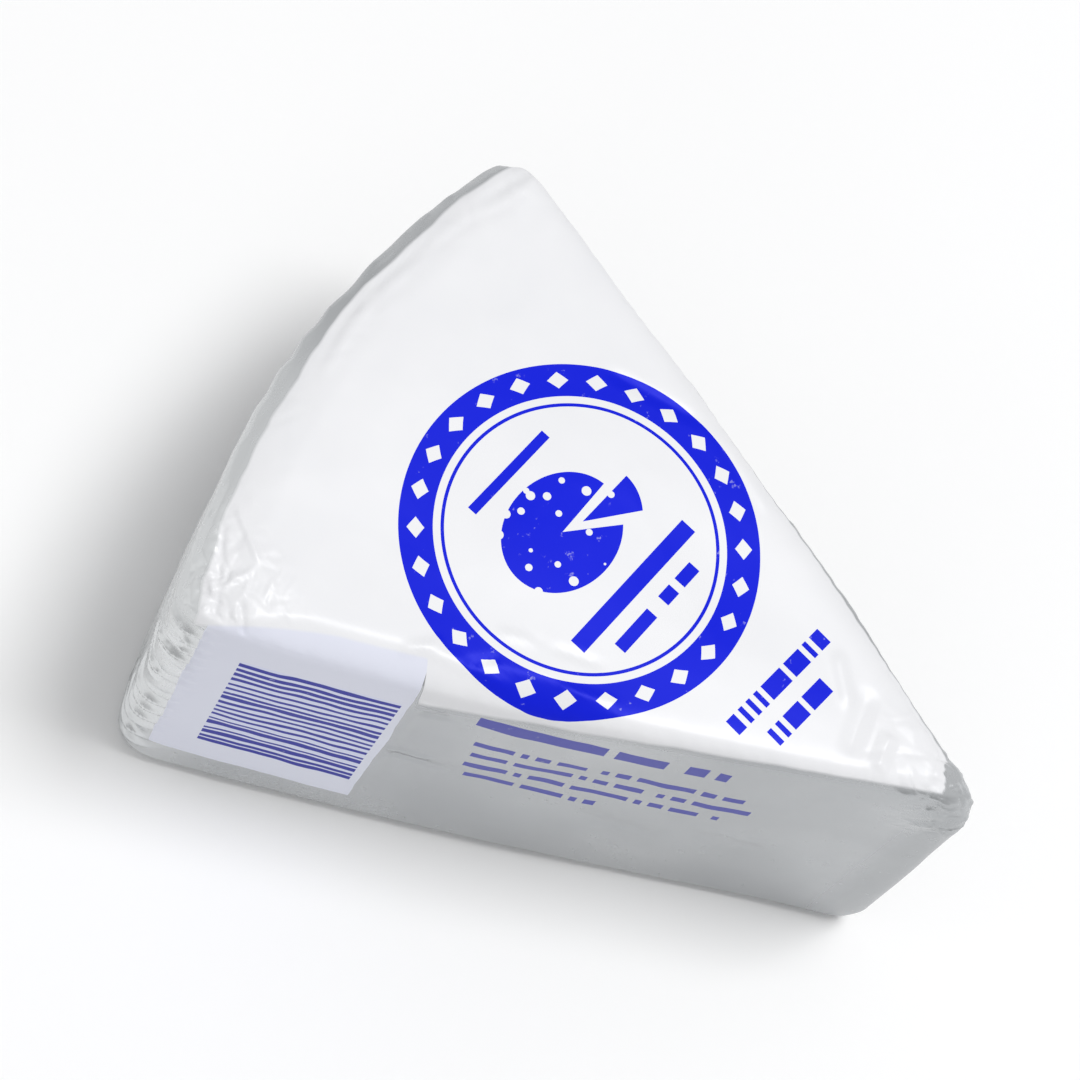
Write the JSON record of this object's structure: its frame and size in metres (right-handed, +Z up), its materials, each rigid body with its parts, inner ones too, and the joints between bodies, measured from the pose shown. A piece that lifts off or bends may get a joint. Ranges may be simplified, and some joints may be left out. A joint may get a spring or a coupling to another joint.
{
  "type": "foil-wrapped blue cheese wedge",
  "caption": "Wedge of blue cheese shut in a printed foil wrapper, with a rounded rind side, a pinched thin end and a flat base to lie on.",
  "frame": {"origin": "middle of the bounding box in plan, on the surface the wedge lies on", "axes": "+Z up, -Y towards the thin end, +Y towards the rind side, -X out of the cut side that carries the label panel"},
  "size_m": [0.0596, 0.08, 0.0422],
  "materials": {
    "foil": "satin"
  },
  "bodies": {
    "root": {"wrapped_wedge": "foil"}
  },
  "joints": []
}
